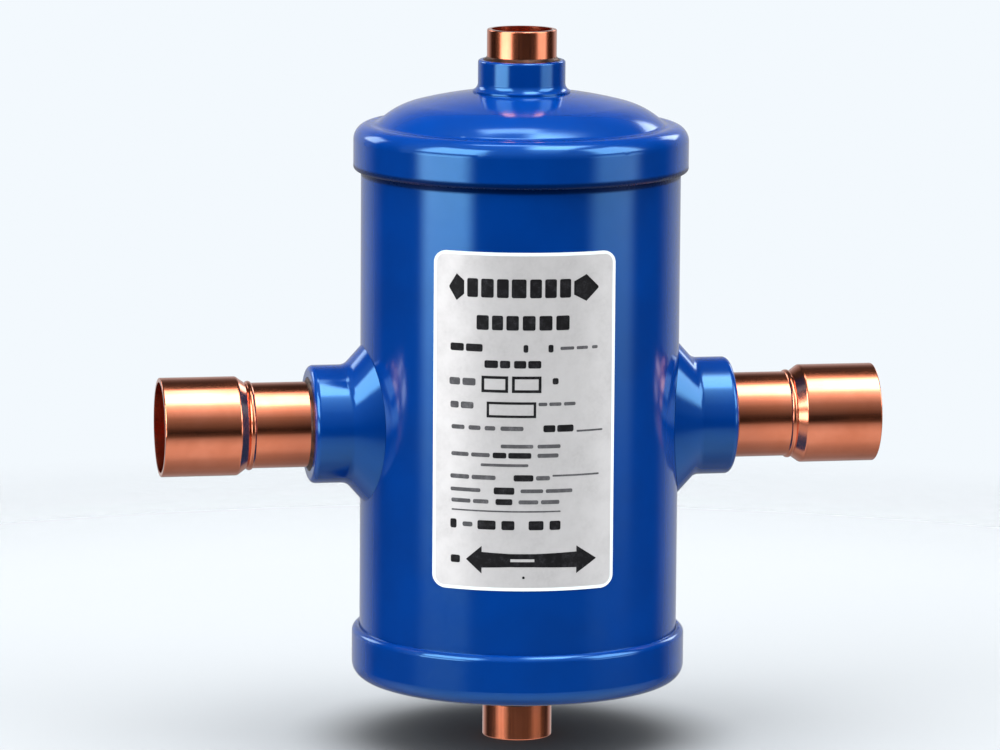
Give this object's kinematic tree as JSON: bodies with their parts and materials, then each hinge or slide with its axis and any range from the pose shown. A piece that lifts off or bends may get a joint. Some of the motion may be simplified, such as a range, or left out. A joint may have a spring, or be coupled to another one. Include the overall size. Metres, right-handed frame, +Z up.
{
  "type": "filter drier",
  "caption": "Upright cylindrical filter drier: blue pressed-cap shell, copper solder sockets left and right, short copper stubs above and below, foil plate in front.",
  "frame": {"origin": "centre of the open end of the bottom stub, on the axis of the shell, which is the lowest point", "axes": "+Z up along the shell's axis towards the top stub, +X along the port axis towards the right socket, the label faces -Y"},
  "size_m": [0.2312, 0.1064, 0.2277],
  "materials": {
    "blue_enamel": "gloss",
    "copper": "polished copper",
    "filler": "satin brazing alloy",
    "label_foil": "brushed foil",
    "desiccant": "porous, matt",
    "felt": "pressed felt",
    "plated_steel": "zinc plated",
    "spring_steel": "oiled",
    "wire_gauze": "fine perforated stainless"
  },
  "bodies": {
    "root": {"back_divider": "plated_steel", "bottom_braze": "filler", "bottom_cap": "blue_enamel", "bottom_collar": "blue_enamel", "bottom_core_gasket": "felt", "bottom_core_plate": "plated_steel", "bottom_stub": "copper", "bottom_tube_screen": "wire_gauze", "core_block": "desiccant", "core_screen": "wire_gauze", "core_spring": "spring_steel", "core_tube": "plated_steel", "core_wrap": "felt", "front_divider": "plated_steel", "label": "label_foil", "left_boss": "blue_enamel", "left_braze": "filler", "left_port_screen": "wire_gauze", "left_tube": "copper", "right_boss": "blue_enamel", "right_braze": "filler", "right_port_screen": "wire_gauze", "right_tube": "copper", "shell_body": "blue_enamel", "spring_seat": "plated_steel", "support_ring": "plated_steel", "top_braze": "filler", "top_cap": "blue_enamel", "top_collar": "blue_enamel", "top_core_gasket": "felt", "top_core_plate": "plated_steel", "top_stub": "copper", "top_tube_screen": "wire_gauze"}
  },
  "joints": []
}
